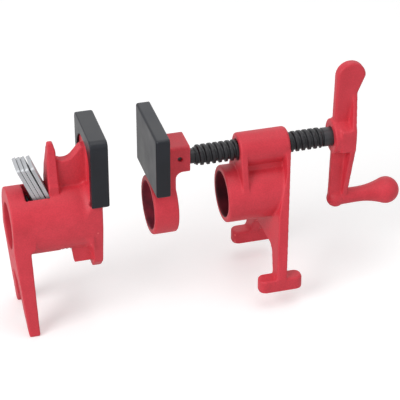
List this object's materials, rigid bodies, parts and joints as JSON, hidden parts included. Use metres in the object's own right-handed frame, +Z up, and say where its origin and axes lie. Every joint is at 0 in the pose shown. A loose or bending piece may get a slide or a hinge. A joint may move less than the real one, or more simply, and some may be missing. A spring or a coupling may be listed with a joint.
{
  "type": "pipe clamp",
  "caption": "Woodworking pipe clamp: a screw head with a crank and sliding jaw, and a tail stop with leaning clutch plates; the pipe is left out.",
  "frame": {"origin": "centre of the mouth of the head's pipe bore, on the pipe's axis", "axes": "+X along the pipe from the tail stop towards the crank, +Z up through the screw, +Y to the far side"},
  "size_m": [0.2371, 0.065, 0.1403],
  "materials": {
    "red_paint": "satin hammered paint on cast iron",
    "black_steel": "blackened satin",
    "pin_steel": "dull",
    "plate_steel": "galvanised",
    "black_plastic": "semi-gloss"
  },
  "bodies": {
    "head": {"head_casting": "red_paint"},
    "jaw": {"front_jaw": "red_paint", "front_jaw_pad": "black_plastic", "jaw_retaining_pin": "black_steel"},
    "screw": {"clamp_screw": "black_steel", "crank_handle": "red_paint", "handle_pin": "pin_steel"},
    "tail": {"tail_casting": "red_paint", "tail_jaw_pad": "black_plastic", "clutch_spring": "black_steel"},
    "plate_1": {"clutch_plate_1": "plate_steel"},
    "plate_2": {"clutch_plate_2": "plate_steel"},
    "plate_3": {"clutch_plate_3": "plate_steel"},
    "plate_4": {"clutch_plate_4": "plate_steel"}
  },
  "joints": [
    {"name": "jaw_travel", "type": "slide", "parent": "head", "child": "jaw", "axis": [1, 0, 0], "range_m": [-0.021, 0.028]},
    {"name": "screw_spin", "type": "hinge", "parent": "jaw", "child": "screw", "pos_m": [0, 0, 0.0287], "axis": [1, 0, 0], "range_deg": [-2110, 2810]},
    {"name": "tail_slide", "type": "slide", "parent": "head", "child": "tail", "axis": [1, 0, 0], "range_m": [-0.4, 0.005]},
    {"name": "plate_1_tilt", "type": "hinge", "parent": "tail", "child": "plate_1", "pos_m": [-0.11215, 0, 0.021], "axis": [0, 1, 0], "range_deg": [0, 23], "deforming": ["clutch_spring"]},
    {"name": "plate_2_tilt", "type": "hinge", "parent": "tail", "child": "plate_2", "pos_m": [-0.10975, 0, 0.021], "axis": [0, 1, 0], "range_deg": [0, 22.8]},
    {"name": "plate_3_tilt", "type": "hinge", "parent": "tail", "child": "plate_3", "pos_m": [-0.10735, 0, 0.021], "axis": [0, 1, 0], "range_deg": [0, 22.6]},
    {"name": "plate_4_tilt", "type": "hinge", "parent": "tail", "child": "plate_4", "pos_m": [-0.1045, 0, 0.021], "axis": [0, 1, 0], "range_deg": [0, 21.8]}
  ],
  "couplings": [
    {"joint": "screw_spin", "follows": "jaw_travel", "rad_per_m": 1745.3},
    {"joint": "plate_2_tilt", "follows": "plate_1_tilt", "ratio": 0.9913},
    {"joint": "plate_3_tilt", "follows": "plate_1_tilt", "ratio": 0.98261},
    {"joint": "plate_4_tilt", "follows": "plate_1_tilt", "ratio": 0.94783}
  ]
}
